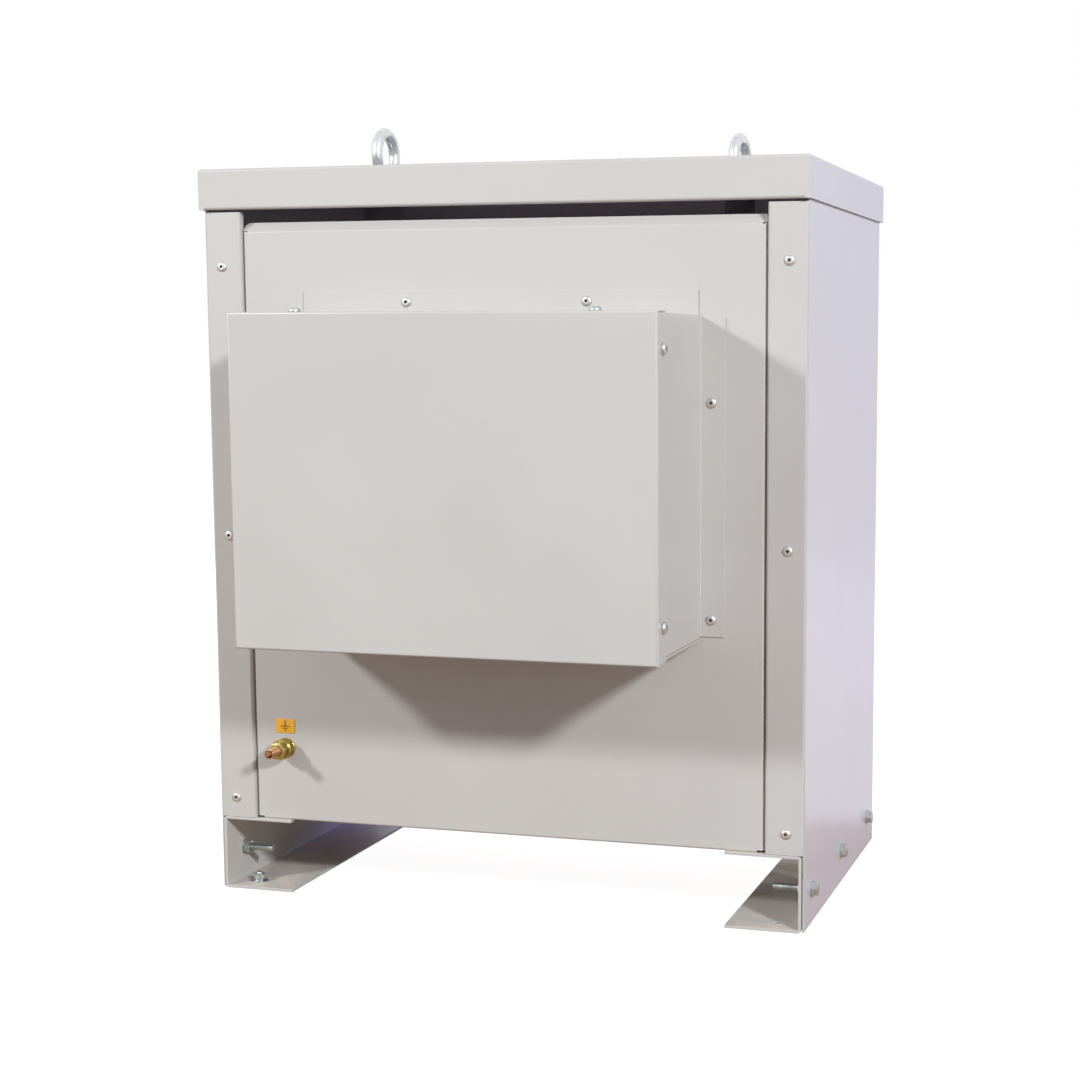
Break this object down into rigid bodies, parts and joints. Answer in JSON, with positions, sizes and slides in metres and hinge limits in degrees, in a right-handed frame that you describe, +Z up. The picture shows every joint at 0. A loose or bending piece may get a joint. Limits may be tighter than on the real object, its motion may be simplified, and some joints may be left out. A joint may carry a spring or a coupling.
{
  "type": "power transformer",
  "caption": "Dry-type power transformer in a folded sheet-steel enclosure with channel feet, vented lid, lifting eyes, front terminal box and earth stud.",
  "frame": {"origin": "on the floor, in the middle of the four floor-fixing holes in the feet", "axes": "+Z up; -Y towards the front, which carries the terminal box and the earth stud; +X towards the right-hand side seen from the front"},
  "size_m": [0.656, 0.563, 0.828],
  "materials": {
    "paint": "semi-gloss light grey powder coat",
    "foot_paint": "semi-gloss light grey powder coat",
    "zinc": "zinc plated, satin",
    "brass": "machined brass",
    "core_steel": "dark varnished laminations",
    "winding": "resin-varnished winding",
    "clamp_steel": "grey primed steel",
    "sign": "yellow-orange plate with a dark earth symbol"
  },
  "bodies": {
    "root": {"left_side_panel": "paint", "right_side_panel": "paint", "front_panel": "paint", "back_panel": "paint", "lid": "paint", "left_foot": "foot_paint", "right_foot": "foot_paint", "terminal_box_body": "paint", "terminal_box_cover": "paint", "gland_plate_front": "paint", "gland_plate_rear": "paint", "lifting_eye_left": "zinc", "lifting_eye_right": "zinc", "lifting_post_left": "clamp_steel", "lifting_post_right": "clamp_steel", "earth_stud": "brass", "earth_stud_nuts": "brass", "core": "core_steel", "coil_left": "winding", "coil_middle": "winding", "coil_right": "winding", "upper_clamp_front": "clamp_steel", "upper_clamp_back": "clamp_steel", "lower_clamp_front": "clamp_steel", "lower_clamp_back": "clamp_steel"}
  },
  "joints": []
}
